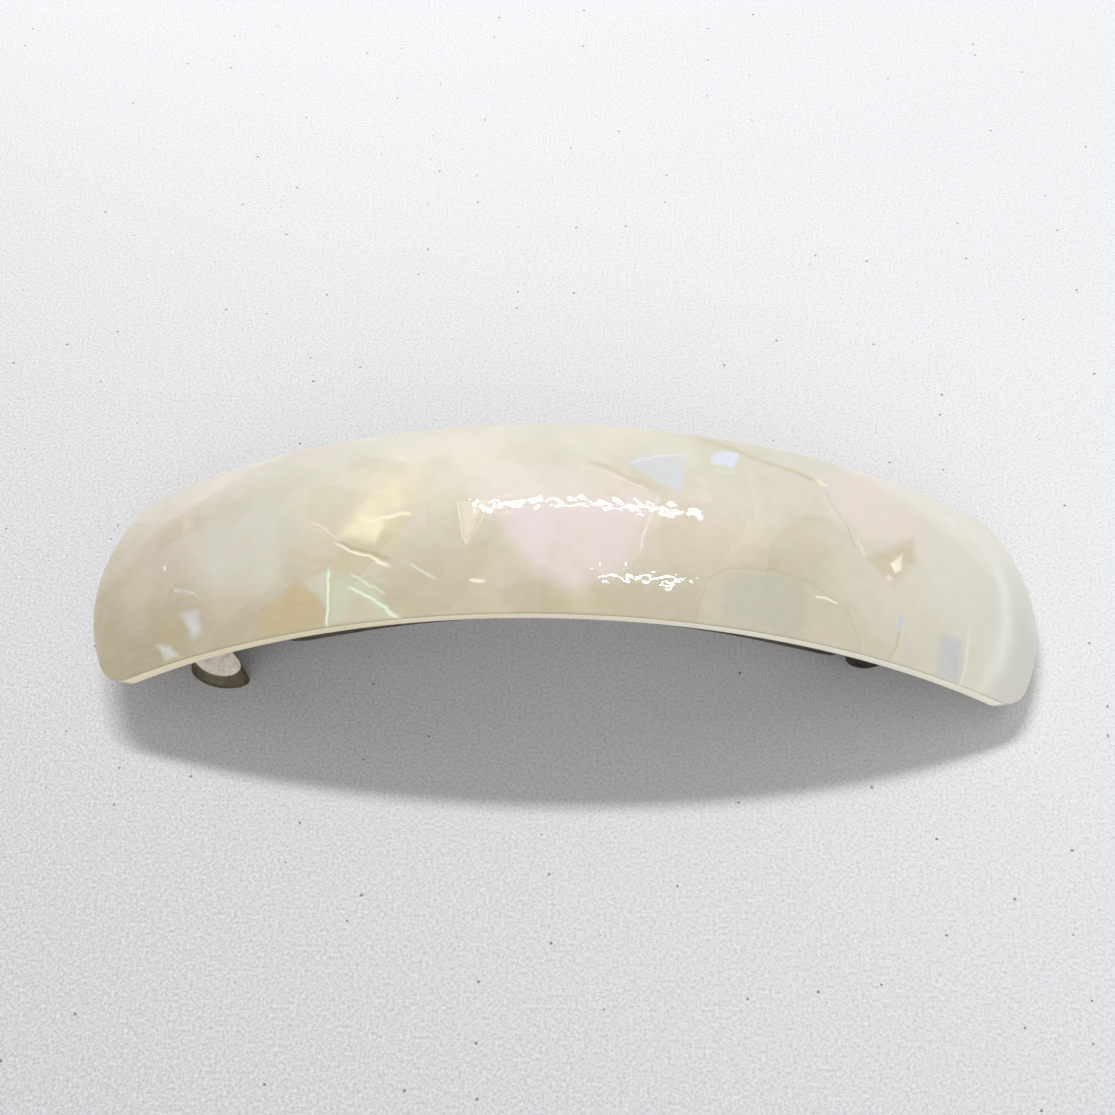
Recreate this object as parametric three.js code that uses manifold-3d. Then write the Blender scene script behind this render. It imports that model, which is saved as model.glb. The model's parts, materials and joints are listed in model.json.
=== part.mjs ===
// A hair barrette: an arched acetate plate on a spring steel clip.
// Millimetres, +Z up, +X towards the clip's hinge, +Y towards its back.
// The clip and the plate are bent about one line, the arch's centre line, so each piece is first
// made straight above that line (x along, y across, z the distance from the line) and then turned
// about it to its place. A depth is measured down from the plate's lower face at its crest.

import * as THREE from 'three';
import { mergeVertices } from 'three/addons/utils/BufferGeometryUtils.js';
import Module from 'manifold-3d';

const wasm = await Module();
wasm.setup();

// The plate
const PLATE_CHORD = 105;
const PLATE_WIDTH = 25;
const PLATE_THICKNESS = 2.3;
const ARCH_RADIUS = 85;
const DOME_RADIUS = 40;
const CORNER_RADIUS = 4;
const END_RADIUS = 26;
const EDGE_ROUND = 0.6;

// The clip's strips
const STEEL = 0.8;
const SPRING_STEEL = 0.55;
const SEAT_GAP = 0.5;
const BASE_HALF_WIDTH = 4;
const BASE_LEFT = -45.4;
const BASE_RIGHT = 41.6;
const BASE_LEFT_ROUNDING = 2.5;
const BASE_RIGHT_ROUNDING = 1.5;
const BASE_WIDENING = 2.5;
// A strip's rounded end starts at this share of its full width
const END_SHARE = 0.35;

// The hinge
const HINGE_X = 33.5;
const HINGE_DEPTH = 9.2;
const PIN_RADIUS = 0.68;
const PIN_HOLE_RADIUS = 0.74;
const PIN_HEAD_RADIUS = 1.15;
const PIN_HEAD_HEIGHT = 0.5;
const EAR_INNER_Y = 4.35;
const EAR_LOBE_RADIUS = 2.3;
const EAR_LOBE_FROM = Math.PI * 1.08;
const EAR_LOBE_TO = Math.PI * 1.92;
const EAR_TOP_HALF = 4.2;
const EAR_TOP_HEIGHT = 2;

// The arm
const ARM_RADIUS = 70.9;
const ARM_BEND_X = 22;
const ARM_HALF_WIDTH = 4.8;
const ARM_END_HALF_WIDTH = 4.1;
const ARM_TAPER = [29.4, 31];
const ARM_TIP_X = -42.6;
const ARM_TIP_ROUNDING = 2.2;
const SLOT_HALF_WIDTH = 2.9;
const SLOT_ENDS = [-32, 27.5];
const WINDOW_HALF_WIDTH = 3.45;
const WINDOW_ENDS = [-40.9, -36.2];
const WINDOW_ROUND = 0.8;

// The catch. Drops are measured down the tabs from the bend under the base.
const CATCH_X = -41.5;
const CATCH_BEND_DEPTH = 1.6;
const TAB_LEAN = THREE.MathUtils.degToRad(-20);
const TAB_INNER_Y = 2.5;
const TAB_HALF_LENGTH = 2;
const TAB_TOP_DROP = 0.3;
const FLANGE_DROP = 5.7;
const FLANGE_SLOPE = 0.25;
const PAD_CENTRE = [0.4, 5.35];
const PAD_RADIUS = 2.95;
const PAD_NECK_Y = 1.6;
const PAD_RIM_DROP = 9.9;
const PAD_RIM_START_Y = 5.3;
const PRONG_HALF_LENGTH = 1.2;
const PRONG_DROP = 9.3;
const WEB_DEPTH = 1.4;
const WEB_HALF_LENGTH = 2.9;
const WEB_HALF_WIDTH = 2.35;
const RIVET_RADIUS = 0.7;
const RIVET_HEAD_RADIUS = 1.3;
const RIVET_HEAD_HEIGHT = 0.45;

// The tension bar
const BAR_THICKNESS = 0.4;
const BAR_HALF_WIDTH = 2.4;
const BAR_HALF_LENGTH = 28;
const BAR_END_DEPTH = 1.85;
const BAR_CREST_DEPTH = 5.1;
const BAR_END_ROUNDING = 1.6;
const BRIDGE_X = 26.2;
const BRIDGE_HALF_LENGTH = 0.8;
const BRIDGE_OPENING = 1.45;
const BRIDGE_HALF_WIDTH = 3.3;
const BRIDGE_LEG = 0.7;

// The pins that hold the clip in the plate
const BASE_PIN_X = 16;
const BASE_PIN_RADIUS = 0.6;
const BASE_PIN_HOLE_RADIUS = 0.68;
const BASE_PIN_GRIP = 1.3;
const BASE_PIN_HEAD_RADIUS = 1.3;
const BASE_PIN_HEAD_HEIGHT = 0.4;
const BASE_PIN_GAP = 0.04;

// How the barrette rests: its hinge end is a little lower, and the catch's pads are flat below
const REST_TILT = THREE.MathUtils.degToRad(2.2);
const REST_HEIGHT = 61.7;

// How finely the round shapes and the bent strips are divided
const ROUND_STEPS = 24;
const CORNER_STEPS = 3;
const END_STEPS = 4;
const SIDE_STEPS = 24;
const LOBE_STEPS = 14;
const PAD_STEPS = 18;
const SLOT_END_STEPS = 8;
const BASE_STEPS = 64;
const ARM_STEPS = 60;
const BAR_STEPS = 40;

// A pin's flat top, as a share of its head's radius
const HEAD_FLAT_SHARE = 0.6;
// How far a cutter runs past what it cuts
const CLEAR = 2;
// A block large enough to cut a pad, and one large enough to stand for the ground
const PAD_BLOCK = 30;
const GROUND_BLOCK = 120;
// Points closer than this are one point
const WELD = 1e-5;

const LOWER_RADIUS = ARCH_RADIUS - PLATE_THICKNESS;
const BASE_OUTER = LOWER_RADIUS - SEAT_GAP;
const BASE_INNER = BASE_OUTER - STEEL;
const EAR_OUTER_Y = EAR_INNER_Y + STEEL;
const HALF_ARC = ARCH_RADIUS * Math.asin(PLATE_CHORD / 2 / ARCH_RADIUS);

const angleAt = (x, radius) => Math.asin(x / radius);
const HINGE_ANGLE = angleAt(HINGE_X, LOWER_RADIUS - HINGE_DEPTH);
const CATCH_ANGLE = angleAt(CATCH_X, LOWER_RADIUS - CATCH_BEND_DEPTH);

const acetate = new THREE.MeshStandardMaterial({ color: 0xd9d2c0, roughness: 0.22, metalness: 0 });
const steel = new THREE.MeshStandardMaterial({ color: 0x8f8c86, roughness: 0.35, metalness: 1 });
const springSteel = new THREE.MeshStandardMaterial({ color: 0xa5a29b, roughness: 0.3, metalness: 1 });
const pinSteel = new THREE.MeshStandardMaterial({ color: 0x77746f, roughness: 0.4, metalness: 1 });

// A closed geometry as a solid that can be joined and cut
function solid(geometry) {
  const bare = geometry.clone();
  bare.deleteAttribute('normal');
  bare.deleteAttribute('uv');
  const merged = mergeVertices(bare, WELD);
  return new wasm.Manifold(new wasm.Mesh({
    numProp: 3,
    vertProperties: new Float32Array(merged.attributes.position.array),
    triVerts: new Uint32Array(merged.index.array),
  }));
}

const joined = (solids) => solids.reduce((whole, next) => whole.add(next));
const cut = (whole, cutters) => cutters.reduce((left, cutter) => left.subtract(cutter), whole);

// A solid as a named mesh
function piece(name, shape, material) {
  const { vertProperties, triVerts } = shape.getMesh();
  const geometry = new THREE.BufferGeometry();
  geometry.setAttribute('position', new THREE.BufferAttribute(new Float32Array(vertProperties), 3));
  geometry.setIndex(new THREE.BufferAttribute(new Uint32Array(triVerts), 1));
  const faceted = geometry.toNonIndexed();
  faceted.computeVertexNormals();
  const mesh = new THREE.Mesh(faceted, material);
  mesh.name = name;
  return mesh;
}

const onArch = (angle, y, radius) => [radius * Math.sin(angle), y, radius * Math.cos(angle)];

// A closed geometry from a list of four-cornered faces and three-cornered faces
function faceSoup(faces) {
  const corners = [];
  for (const [a, b, c, d] of faces) {
    corners.push(...a, ...b, ...c);
    if (d) corners.push(...a, ...c, ...d);
  }
  const geometry = new THREE.BufferGeometry();
  geometry.setAttribute('position', new THREE.BufferAttribute(new Float32Array(corners), 3));
  return geometry;
}

// A strip of metal through its stations. A station is [x, z, lean, half width]: x and z on the
// strip's lower face, and lean is how far its upward normal turns from +Z towards +X.
function strip(stations, thickness) {
  const sections = stations.map(([x, z, lean, half]) => {
    const top = [x + thickness * Math.sin(lean), z + thickness * Math.cos(lean)];
    return [[x, -half, z], [x, half, z], [top[0], half, top[1]], [top[0], -half, top[1]]];
  });
  const faces = [];
  for (let i = 1; i < sections.length; i += 1) {
    for (let k = 0; k < 4; k += 1) {
      const next = (k + 1) % 4;
      faces.push([sections[i - 1][next], sections[i][next], sections[i][k], sections[i - 1][k]]);
    }
  }
  const [first, last] = [sections[0], sections.at(-1)];
  faces.push([first[3], first[2], first[1], first[0]]);
  faces.push([last[0], last[1], last[2], last[3]]);
  return solid(faceSoup(faces));
}

// Even steps from one value to another, with both ends
function steps(from, to, count) {
  return Array.from({ length: count + 1 }, (_, i) => from + ((to - from) * i) / count);
}

// How wide a strip is near a rounded end, as a share of its full width
function endRounding(x, end, length) {
  const inside = Math.min(Math.abs(end - x) / length, 1);
  return THREE.MathUtils.lerp(END_SHARE, 1, Math.sqrt(1 - (1 - inside) ** 2));
}

const smooth = THREE.MathUtils.smoothstep;

// A flat outline, drawn in x and y, as a prism standing on it
function prism(points, height) {
  const shape = new THREE.Shape(points.map(([x, y]) => new THREE.Vector2(x, y)));
  return new THREE.ExtrudeGeometry(shape, { depth: height, bevelEnabled: false });
}

function box(low, high) {
  const size = high.map((value, axis) => value - low[axis]);
  const centre = high.map((value, axis) => (value + low[axis]) / 2);
  return new THREE.BoxGeometry(...size).translate(...centre);
}

// A pin or rivet on the z axis, turned from a profile of [radius, z] points between its two ends
function turned(profile) {
  const points = profile.map(([radius, z]) => new THREE.Vector2(radius, z));
  return new THREE.LatheGeometry(points, ROUND_STEPS).rotateX(Math.PI / 2);
}

// A hole's cutter on the z axis
const drill = (radius, low, high) => new THREE.CylinderGeometry(radius, radius, high - low, ROUND_STEPS)
  .rotateX(Math.PI / 2).translate(0, 0, (low + high) / 2);

// ---- the plate

// A point of the plate, from its way along the arch, its way across and its depth in the sheet
function platePoint(along, across, depth) {
  const roll = Math.asin(across / DOME_RADIUS);
  const radius = ARCH_RADIUS - DOME_RADIUS * (1 - Math.cos(roll)) - depth * Math.cos(roll);
  return onArch(along / ARCH_RADIUS, across - depth * Math.sin(roll), radius);
}

// A quarter of the plate's outline, split at the middle of its corner: the long side's half from
// the plate's middle to the split, and the end's half from the split to the tip
function outlineQuarter(inset) {
  const cornerAcross = PLATE_WIDTH / 2 - CORNER_RADIUS;
  const endCentre = HALF_ARC - END_RADIUS;
  const cornerAlong = endCentre + Math.sqrt((END_RADIUS - CORNER_RADIUS) ** 2 - cornerAcross ** 2);
  const lean = Math.atan2(cornerAcross, cornerAlong - endCentre);
  const split = (Math.PI / 2 + lean) / 2;
  const onCorner = (angle) => [
    cornerAlong + (CORNER_RADIUS - inset) * Math.cos(angle),
    cornerAcross + (CORNER_RADIUS - inset) * Math.sin(angle),
  ];
  const onEnd = (angle) => [
    endCentre + (END_RADIUS - inset) * Math.cos(angle),
    (END_RADIUS - inset) * Math.sin(angle),
  ];
  const straight = steps(0, cornerAlong, SIDE_STEPS).map((along) => [along, PLATE_WIDTH / 2 - inset]);
  const side = [...straight, ...steps(Math.PI / 2, split, CORNER_STEPS).slice(1).map(onCorner)];
  const end = [
    ...steps(split, lean, CORNER_STEPS).map(onCorner),
    ...steps(lean, 0, END_STEPS).slice(1).map(onEnd),
  ];
  return { side, end };
}

// The half outlines mirrored to whole sides, both running from minus to plus
function outlineSides(inset) {
  const { side, end } = outlineQuarter(inset);
  const wholeSide = [...side.slice(1).reverse().map(([s, y]) => [-s, y]), ...side];
  const wholeEnd = [...end.map(([s, y]) => [s, -y]), ...end.slice(0, -1).reverse()];
  return { side: wholeSide, end: wholeEnd };
}

// One face of the plate as rows of points, stretched between the outline's four sides
function plateFace(inset, depth) {
  const { side, end } = outlineSides(inset);
  const [cornerAlong, cornerAcross] = side.at(-1);
  return side.map(([along, sideAcross]) => end.map(([endAlong, across]) => platePoint(
    (endAlong * along) / cornerAlong,
    (sideAcross * across) / cornerAcross,
    depth,
  )));
}

// The outline as one loop
function plateLoop(inset, depth) {
  const { side, end } = outlineSides(inset);
  const loop = [
    ...side.slice(1).map(([s, y]) => [s, -y]),
    ...end.slice(1),
    ...side.slice(0, -1).reverse(),
    ...end.slice(0, -1).reverse().map(([s, y]) => [-s, y]),
  ];
  return loop.map(([along, across]) => platePoint(along, across, depth));
}

function gridFaces(rows, facingUp) {
  const faces = [];
  for (let i = 1; i < rows.length; i += 1) {
    for (let j = 1; j < rows[i].length; j += 1) {
      const face = [rows[i - 1][j - 1], rows[i][j - 1], rows[i][j], rows[i - 1][j]];
      faces.push(facingUp ? face : face.reverse());
    }
  }
  return faces;
}

function acetatePlate() {
  const turns = steps(0, Math.PI / 2, CORNER_STEPS);
  const rim = [
    ...turns.map((a) => plateLoop(EDGE_ROUND * (1 - Math.sin(a)), EDGE_ROUND * (1 - Math.cos(a)))),
    ...turns.map((a) => plateLoop(
      EDGE_ROUND * (1 - Math.cos(a)),
      PLATE_THICKNESS - EDGE_ROUND * (1 - Math.sin(a)),
    )),
  ];
  const faces = [
    ...gridFaces(plateFace(EDGE_ROUND, 0), true),
    ...gridFaces(plateFace(EDGE_ROUND, PLATE_THICKNESS), false),
  ];
  for (let k = 1; k < rim.length; k += 1) {
    for (let i = 0; i < rim[k].length; i += 1) {
      const next = (i + 1) % rim[k].length;
      faces.push([rim[k][i], rim[k][next], rim[k - 1][next], rim[k - 1][i]]);
    }
  }
  const holes = [-1, 1].map((side) => solid(
    drill(BASE_PIN_HOLE_RADIUS, BASE_OUTER, LOWER_RADIUS + BASE_PIN_GRIP + 2 * BASE_PIN_GAP)
      .rotateY(side * angleAt(BASE_PIN_X, LOWER_RADIUS)),
  ));
  return cut(solid(faceSoup(faces)), holes);
}

// ---- the clip's base

const arcStations = (radius, from, to, half) => steps(from, to, BASE_STEPS).map((x) => {
  const angle = angleAt(x, radius);
  return [x, radius * Math.cos(angle), angle, half(x)];
});

function baseHalfWidth(x) {
  const earStart = HINGE_X - EAR_TOP_HALF;
  const widening = smooth(x, earStart - BASE_WIDENING, earStart);
  const half = THREE.MathUtils.lerp(BASE_HALF_WIDTH, EAR_OUTER_Y, widening);
  const leftShare = endRounding(x, BASE_LEFT, BASE_LEFT_ROUNDING);
  return half * leftShare * endRounding(x, BASE_RIGHT, BASE_RIGHT_ROUNDING);
}

// One of the two ears that hold the hinge pin: wide where it folds from the base, round at the pin
function hingeEar(side) {
  const pinZ = LOWER_RADIUS - HINGE_DEPTH;
  const rootZ = BASE_OUTER - STEEL / 2;
  const lobe = steps(EAR_LOBE_FROM, EAR_LOBE_TO, LOBE_STEPS).map((angle) => [
    EAR_LOBE_RADIUS * Math.cos(angle),
    pinZ + EAR_LOBE_RADIUS * Math.sin(angle),
  ]);
  const outline = [
    [-EAR_TOP_HALF, rootZ],
    [-EAR_TOP_HALF, rootZ - EAR_TOP_HEIGHT],
    ...lobe,
    [EAR_TOP_HALF, rootZ - EAR_TOP_HEIGHT],
    [EAR_TOP_HALF, rootZ],
  ];
  const ear = prism(outline, STEEL).rotateX(Math.PI / 2);
  return solid(ear.translate(0, side > 0 ? EAR_OUTER_Y : -EAR_INNER_Y, 0).rotateY(HINGE_ANGLE));
}

// A low bridge across the base that an end of the tension bar slides under
function barBridge(side) {
  const top = BASE_INNER + STEEL / 4;
  const under = BASE_INNER - BRIDGE_OPENING;
  const whole = box(
    [-BRIDGE_HALF_LENGTH, -BRIDGE_HALF_WIDTH, under - SPRING_STEEL],
    [BRIDGE_HALF_LENGTH, BRIDGE_HALF_WIDTH, top],
  );
  const way = box(
    [-BRIDGE_HALF_LENGTH * 2, -BRIDGE_HALF_WIDTH + BRIDGE_LEG, under],
    [BRIDGE_HALF_LENGTH * 2, BRIDGE_HALF_WIDTH - BRIDGE_LEG, top + STEEL],
  );
  const angle = side * angleAt(BRIDGE_X, BASE_INNER);
  return cut(solid(whole.rotateY(angle)), [solid(way.rotateY(angle))]);
}

function claspBase() {
  const sheet = strip(arcStations(BASE_INNER, BASE_LEFT, BASE_RIGHT, baseHalfWidth), STEEL);
  const hingeHole = solid(
    new THREE.CylinderGeometry(PIN_HOLE_RADIUS, PIN_HOLE_RADIUS, EAR_OUTER_Y * 3, ROUND_STEPS)
      .translate(0, 0, LOWER_RADIUS - HINGE_DEPTH).rotateY(HINGE_ANGLE),
  );
  const pinHoles = [-1, 1].map((side) => solid(
    drill(BASE_PIN_HOLE_RADIUS, BASE_INNER - CLEAR, BASE_OUTER + CLEAR)
      .rotateY(side * angleAt(BASE_PIN_X, LOWER_RADIUS)),
  ));
  const rivetHole = solid(
    drill(RIVET_RADIUS + BASE_PIN_GAP, BASE_INNER - CLEAR, BASE_OUTER + CLEAR).rotateY(CATCH_ANGLE),
  );
  const metal = joined([sheet, hingeEar(1), hingeEar(-1), barBridge(1), barBridge(-1)]);
  return cut(metal, [hingeHole, rivetHole, ...pinHoles]);
}

// A headed pin that is set into the plate from below and holds the base against it
function basePin(side) {
  const headTop = BASE_INNER - BASE_PIN_GAP;
  const headLow = headTop - BASE_PIN_HEAD_HEIGHT;
  const pin = turned([
    [0, headLow],
    [BASE_PIN_HEAD_RADIUS * HEAD_FLAT_SHARE, headLow],
    [BASE_PIN_HEAD_RADIUS, headTop - BASE_PIN_HEAD_HEIGHT / 2],
    [BASE_PIN_HEAD_RADIUS, headTop],
    [BASE_PIN_RADIUS, headTop],
    [BASE_PIN_RADIUS, LOWER_RADIUS + BASE_PIN_GRIP],
    [0, LOWER_RADIUS + BASE_PIN_GRIP],
  ]);
  return solid(pin.rotateY(side * angleAt(BASE_PIN_X, LOWER_RADIUS)));
}

// ---- the hinge pin, with a peened head outside each ear

function hingePin() {
  const end = EAR_OUTER_Y + BASE_PIN_GAP;
  const half = [
    [PIN_RADIUS, end],
    [PIN_HEAD_RADIUS, end],
    [PIN_HEAD_RADIUS, end + PIN_HEAD_HEIGHT / 2],
    [PIN_HEAD_RADIUS * HEAD_FLAT_SHARE, end + PIN_HEAD_HEIGHT],
    [0, end + PIN_HEAD_HEIGHT],
  ];
  const profile = [...half.map(([radius, y]) => [radius, -y]).reverse(), ...half];
  const points = profile.map(([radius, y]) => new THREE.Vector2(radius, y));
  const pin = new THREE.LatheGeometry(points, ROUND_STEPS);
  return solid(pin.translate(0, 0, LOWER_RADIUS - HINGE_DEPTH).rotateY(HINGE_ANGLE));
}

// ---- the arm: two rails that follow the arch in the middle and run straight at both ends

function armHalfWidth(x) {
  const narrowing = smooth(Math.abs(x), ...ARM_TAPER);
  const half = THREE.MathUtils.lerp(ARM_HALF_WIDTH, ARM_END_HALF_WIDTH, narrowing);
  return half * endRounding(x, ARM_TIP_X, ARM_TIP_ROUNDING);
}

function armStation(x) {
  const bend = angleAt(ARM_BEND_X, ARM_RADIUS);
  const past = Math.abs(x) - ARM_BEND_X;
  if (past <= 0) {
    const angle = angleAt(x, ARM_RADIUS);
    return [x, ARM_RADIUS * Math.cos(angle), angle, armHalfWidth(x)];
  }
  const z = ARM_RADIUS * Math.cos(bend) - past * Math.tan(bend);
  return [x, z, Math.sign(x) * bend, armHalfWidth(x)];
}

// An outline with half-round ends, as a cutter that stands through the arm
function slotCutter([from, to], half, round) {
  const arc = (centre, start) => steps(start, start + Math.PI, SLOT_END_STEPS).map((angle) => [
    centre + round * Math.cos(angle),
    half * Math.sin(angle),
  ]);
  const outline = [...arc(to - round, -Math.PI / 2), ...arc(from + round, Math.PI / 2)];
  return solid(prism(outline, ARM_RADIUS).translate(0, 0, ARM_RADIUS / 2));
}

function claspArm() {
  const pinX = (LOWER_RADIUS - HINGE_DEPTH) * Math.sin(HINGE_ANGLE);
  const pinZ = (LOWER_RADIUS - HINGE_DEPTH) * Math.cos(HINGE_ANGLE);
  const sheet = strip(steps(ARM_TIP_X, pinX, ARM_STEPS).map(armStation), STEEL);
  const [, armZ, lean] = armStation(pinX);
  const knuckleRadius = (pinZ - armZ) * Math.cos(lean);
  const barrel = (radius, half) => solid(
    new THREE.CylinderGeometry(radius, radius, half * 2, ROUND_STEPS).translate(pinX, 0, pinZ),
  );
  const metal = joined([sheet, barrel(knuckleRadius, ARM_END_HALF_WIDTH)]);
  return cut(metal, [
    barrel(PIN_HOLE_RADIUS, EAR_OUTER_Y),
    slotCutter(SLOT_ENDS, SLOT_HALF_WIDTH, SLOT_HALF_WIDTH),
    slotCutter(WINDOW_ENDS, WINDOW_HALF_WIDTH, WINDOW_ROUND),
  ]);
}

// ---- the catch: a web riveted under the base, and a sprung tab on each side of it

function catchBracket() {
  const top = LOWER_RADIUS - WEB_DEPTH;
  const web = box(
    [-WEB_HALF_LENGTH, -WEB_HALF_WIDTH, top - SPRING_STEEL],
    [WEB_HALF_LENGTH, WEB_HALF_WIDTH, top],
  );
  const hole = drill(RIVET_RADIUS + BASE_PIN_GAP, top - CLEAR, top + CLEAR);
  return cut(solid(web.rotateY(CATCH_ANGLE)), [solid(hole.rotateY(CATCH_ANGLE))]);
}

function catchRivet() {
  const headTop = LOWER_RADIUS - WEB_DEPTH - SPRING_STEEL - BASE_PIN_GAP;
  const headLow = headTop - RIVET_HEAD_HEIGHT;
  const rivet = turned([
    [0, headLow],
    [RIVET_HEAD_RADIUS * HEAD_FLAT_SHARE, headLow],
    [RIVET_HEAD_RADIUS, headTop - RIVET_HEAD_HEIGHT / 2],
    [RIVET_HEAD_RADIUS, headTop],
    [RIVET_RADIUS, headTop],
    [RIVET_RADIUS, BASE_OUTER],
    [0, BASE_OUTER],
  ]);
  return solid(rivet.rotateY(CATCH_ANGLE));
}

// The plan of a finger pad: a neck at the stem and a round end that leans towards the middle
function padPrism(side, inset, low, high) {
  const [centreX, centreY] = PAD_CENTRE;
  const radius = PAD_RADIUS - inset;
  const round = steps(Math.PI, 0, PAD_STEPS).map((angle) => [
    centreX + radius * Math.cos(angle),
    side * (centreY + radius * Math.sin(angle)),
  ]);
  const neck = TAB_HALF_LENGTH - inset;
  const outline = [
    [-neck, side * TAB_INNER_Y],
    ...round,
    [neck, side * (centreY - PAD_NECK_Y)],
    [neck, side * TAB_INNER_Y],
  ];
  return solid(prism(outline, high - low).translate(0, 0, low));
}

// All that lies below the pad's sloping face, or below that face lowered by a sheet's thickness
function belowSlope(side, lowered) {
  const block = box([-PAD_BLOCK, -PAD_BLOCK, -PAD_BLOCK], [PAD_BLOCK, PAD_BLOCK, 0]);
  block.rotateX(-side * Math.atan(FLANGE_SLOPE));
  return solid(block.translate(0, side * TAB_INNER_Y, -FLANGE_DROP - lowered));
}

// The ground, seen from the arch's centre, as a block that cuts the pads' rims flat
function groundBlock() {
  const block = box(
    [-GROUND_BLOCK, -GROUND_BLOCK, REST_HEIGHT - GROUND_BLOCK],
    [GROUND_BLOCK, GROUND_BLOCK, REST_HEIGHT],
  );
  return solid(block.rotateY(-REST_TILT));
}

// One half of the catch spring: a stem, a finger pad with a turned-down rim, and a prong that
// stands in the arm's window. It is made hanging from its bend, then leaned and moved there.
function pinchTab(side) {
  const outerY = TAB_INNER_Y + SPRING_STEEL;
  const ys = [side * TAB_INNER_Y, side * outerY].sort((a, b) => a - b);
  const stem = solid(box(
    [-TAB_HALF_LENGTH, ys[0], -FLANGE_DROP - SPRING_STEEL],
    [TAB_HALF_LENGTH, ys[1], -TAB_TOP_DROP],
  ));
  const prong = solid(box(
    [-PRONG_HALF_LENGTH, ys[0], -PRONG_DROP],
    [PRONG_HALF_LENGTH, ys[1], -FLANGE_DROP],
  ));
  const above = -FLANGE_DROP + CLEAR;
  const below = -PAD_RIM_DROP - CLEAR;
  const reach = PAD_RADIUS * 3;
  const shell = padPrism(side, 0, -PAD_RIM_DROP, above).intersect(belowSlope(side, 0));
  const hollow = padPrism(side, SPRING_STEEL, below, above);
  const nearArm = solid(box(
    [-reach, Math.min(0, side * PAD_RIM_START_Y), below],
    [reach, Math.max(0, side * PAD_RIM_START_Y), above],
  ));
  const inside = joined([hollow, nearArm]).intersect(belowSlope(side, SPRING_STEEL));
  const tab = joined([shell.subtract(inside), stem, prong]);
  const bend = onArch(CATCH_ANGLE, 0, LOWER_RADIUS - CATCH_BEND_DEPTH);
  const placed = tab.rotate([0, THREE.MathUtils.radToDeg(TAB_LEAN), 0]).translate(bend);
  return cut(placed, [groundBlock()]);
}

// ---- the tension bar: a thin bow that runs flatter than the base and ends under its bridges

function tensionBar() {
  const endZ = Math.sqrt((LOWER_RADIUS - BAR_END_DEPTH) ** 2 - BAR_HALF_LENGTH ** 2);
  const crestZ = LOWER_RADIUS - BAR_CREST_DEPTH;
  const rise = crestZ - endZ;
  const bowRadius = (BAR_HALF_LENGTH ** 2 + rise ** 2) / (2 * rise);
  const centreZ = crestZ - bowRadius;
  const stations = steps(-BAR_HALF_LENGTH, BAR_HALF_LENGTH, BAR_STEPS).map((x) => {
    const lean = angleAt(x, bowRadius);
    const half = BAR_HALF_WIDTH * endRounding(Math.abs(x), BAR_HALF_LENGTH, BAR_END_ROUNDING);
    return [x, centreZ + bowRadius * Math.cos(lean), lean, half];
  });
  return strip(stations, BAR_THICKNESS);
}

// ---- the whole barrette, tipped as it rests and centred on its own footprint

const barrette = new THREE.Group();
barrette.add(
  piece('acetate_plate', acetatePlate(), acetate),
  piece('clasp_base', claspBase(), steel),
  piece('base_pin_catch_end', basePin(-1), pinSteel),
  piece('base_pin_hinge_end', basePin(1), pinSteel),
  piece('catch_bracket', catchBracket(), springSteel),
  piece('catch_rivet', catchRivet(), pinSteel),
  piece('pinch_tab_front', pinchTab(-1), springSteel),
  piece('pinch_tab_back', pinchTab(1), springSteel),
  piece('clasp_arm', claspArm(), steel),
  piece('hinge_pin', hingePin(), pinSteel),
  piece('tension_bar', tensionBar(), springSteel),
);
barrette.rotation.y = REST_TILT;
barrette.updateMatrixWorld(true);
const extent = new THREE.Box3().setFromObject(barrette, true);
barrette.position.x = -(extent.min.x + extent.max.x) / 2;
barrette.position.z = -REST_HEIGHT;

const group = new THREE.Group();
group.add(barrette);

export default group;
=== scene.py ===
"""A hair barrette: a pearl acetate plate on a spring steel clip, lying on a pale table.

Metres, in the row frame. The plate and the clip are bent about the arch's centre line, as in the
CAD model, so shapes are worked out in the arch frame (x along, y across, z the height over the
centre line) in millimetres, and then leaned and moved to where the barrette rests.
"""

import json
import math

import bmesh
import bpy
from mathutils import Matrix, Vector


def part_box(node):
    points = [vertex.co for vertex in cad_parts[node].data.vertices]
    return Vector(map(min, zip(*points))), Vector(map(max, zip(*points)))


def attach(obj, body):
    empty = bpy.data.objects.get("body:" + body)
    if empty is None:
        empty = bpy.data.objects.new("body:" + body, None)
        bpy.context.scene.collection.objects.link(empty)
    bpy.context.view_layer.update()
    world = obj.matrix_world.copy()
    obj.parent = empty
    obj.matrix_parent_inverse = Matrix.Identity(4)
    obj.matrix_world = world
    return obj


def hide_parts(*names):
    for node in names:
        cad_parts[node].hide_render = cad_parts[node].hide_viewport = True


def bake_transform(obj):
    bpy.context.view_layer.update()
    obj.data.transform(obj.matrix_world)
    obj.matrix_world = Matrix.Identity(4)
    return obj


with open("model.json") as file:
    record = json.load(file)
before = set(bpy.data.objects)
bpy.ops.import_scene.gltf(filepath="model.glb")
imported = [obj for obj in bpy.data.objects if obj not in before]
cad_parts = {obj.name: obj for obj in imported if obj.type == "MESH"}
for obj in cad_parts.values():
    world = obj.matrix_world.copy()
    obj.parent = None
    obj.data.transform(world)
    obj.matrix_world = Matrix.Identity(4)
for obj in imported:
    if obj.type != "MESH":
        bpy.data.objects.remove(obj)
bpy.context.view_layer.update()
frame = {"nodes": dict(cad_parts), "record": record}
MM = 0.001

# ---- driving dimensions, in millimetres

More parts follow.
